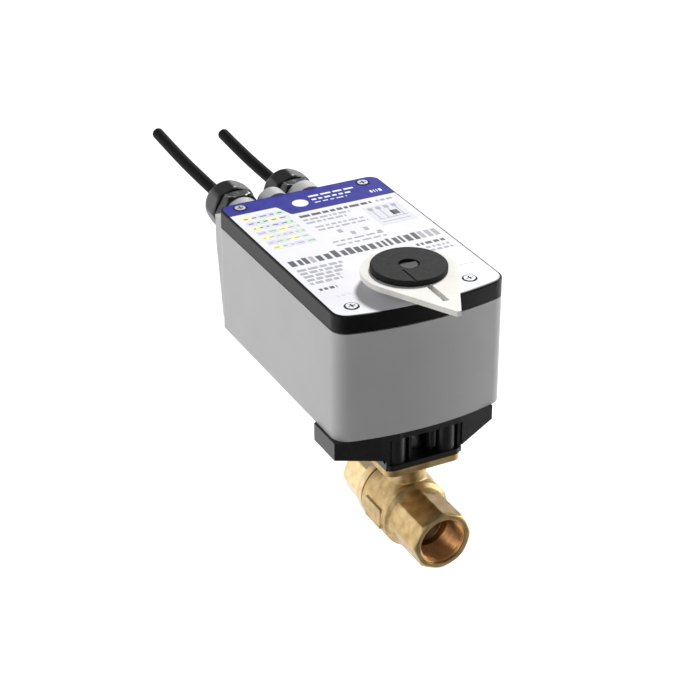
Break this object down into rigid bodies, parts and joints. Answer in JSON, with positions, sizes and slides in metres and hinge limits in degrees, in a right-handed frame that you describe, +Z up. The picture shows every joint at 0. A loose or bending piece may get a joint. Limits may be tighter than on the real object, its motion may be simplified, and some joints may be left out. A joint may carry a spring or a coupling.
{
  "type": "zone valve",
  "caption": "Motorised two-way ball valve: a brass threaded body under a spring-return rotary actuator with a turning pointer and rear cable entries.",
  "frame": {"origin": "centre of the front port's mouth, on the pipe axis", "axes": "+Y along the pipe axis from the front port to the rear port, +Z up along the valve stem towards the actuator lid, +X to the right seen from the front port"},
  "size_m": [0.0995, 0.3259, 0.1642],
  "materials": {
    "brass_body": "cast and machined, satin",
    "brass_cap": "machined, satin",
    "chromed_ball": "polished",
    "steel": "zinc plated",
    "ptfe": "smooth",
    "rubber": "matt",
    "black_plastic": "fine grain",
    "grey_case": "fine satin grain",
    "label_film": "printed film",
    "pointer_white": "satin",
    "cap_grey": "satin",
    "acetal": "smooth",
    "gear_plastic": "smooth",
    "cable_black": "matt",
    "board_green": "solder mask",
    "copper": "enamelled winding",
    "spring_steel": "blued strip"
  },
  "bodies": {
    "casing": {"valve_body": "brass_body", "end_cap": "brass_cap", "body_seal": "ptfe", "front_seat": "ptfe", "rear_seat": "ptfe", "stem_washer": "ptfe", "adapter_base": "black_plastic", "pad_screws": "steel", "adapter_screws": "steel", "housing": "grey_case", "lid": "black_plastic", "lid_gasket": "rubber", "label": "label_film", "lid_screws": "steel", "lower_bush": "acetal", "upper_bush": "acetal", "end_stops": "steel", "axle_1": "steel", "axle_2": "steel", "spring_cage": "steel", "return_spring": "spring_steel", "gear_plate": "steel", "plate_pillars": "steel", "plate_screws": "steel", "motor_can": "steel", "motor_stator": "copper", "micro_switch": "black_plastic", "lever_pin": "steel", "circuit_board": "board_green", "board_standoffs": "acetal", "transformer": "black_plastic", "capacitors": "black_plastic", "control_chip": "black_plastic", "terminal_blocks": "acetal", "gland_body_1": "black_plastic", "gland_nut_1": "black_plastic", "gland_body_2": "black_plastic", "gland_nut_2": "black_plastic", "gland_seals": "rubber", "inner_cables": "cable_black", "power_cable": "cable_black", "switch_cable": "cable_black"},
    "output": {"ball": "chromed_ball", "valve_stem": "brass_cap", "stem_o_rings": "rubber", "output_shaft": "steel", "drive_coupling": "steel", "sector_gear": "gear_plastic", "shaft_clip": "spring_steel", "switch_cam": "black_plastic", "pointer": "pointer_white", "pointer_cap": "cap_grey", "cap_screw": "steel"},
    "reduction_gear_1": {"gear_1": "gear_plastic"},
    "reduction_gear_2": {"gear_2": "gear_plastic"},
    "motor_armature": {"motor_rotor": "steel", "motor_pinion": "brass_cap"},
    "spring_drum": {"spring_gear": "gear_plastic"},
    "lever": {"switch_lever": "steel"}
  },
  "joints": [
    {"name": "output_turn", "type": "hinge", "parent": "casing", "child": "output", "pos_m": [0, 0.0418, 0], "axis": [0, 0, 1], "range_deg": [0, 90], "stiffness_Nm_per_rad": 0.4},
    {"name": "gear_1_spin", "type": "hinge", "parent": "casing", "child": "reduction_gear_1", "pos_m": [0, 0.0838, 0.07], "axis": [0, 0, 1], "range_deg": [-540, 0]},
    {"name": "gear_2_spin", "type": "hinge", "parent": "casing", "child": "reduction_gear_2", "pos_m": [0.01838, 0.09923, 0.078], "axis": [0, 0, 1], "range_deg": [0, 2160]},
    {"name": "motor_spin", "type": "hinge", "parent": "casing", "child": "motor_armature", "pos_m": [0.02769, 0.11533, 0.1], "axis": [0, 0, 1], "range_deg": [-9000, 0]},
    {"name": "spring_drum_turn", "type": "hinge", "parent": "casing", "child": "spring_drum", "pos_m": [-0.01992, 0.10051, 0.08], "axis": [0, 0, 1], "range_deg": [0, 162], "deforming": ["return_spring"]},
    {"name": "switch_lever_press", "type": "hinge", "parent": "casing", "child": "lever", "pos_m": [0.022, 0.0342, 0.095], "axis": [0, 0, 1], "range_deg": [-6, 0], "stiffness_Nm_per_rad": 0.005}
  ],
  "couplings": [
    {"joint": "gear_1_spin", "follows": "output_turn", "ratio": -6},
    {"joint": "gear_2_spin", "follows": "output_turn", "ratio": 24},
    {"joint": "motor_spin", "follows": "output_turn", "ratio": -100},
    {"joint": "spring_drum_turn", "follows": "output_turn", "ratio": 1.8}
  ]
}
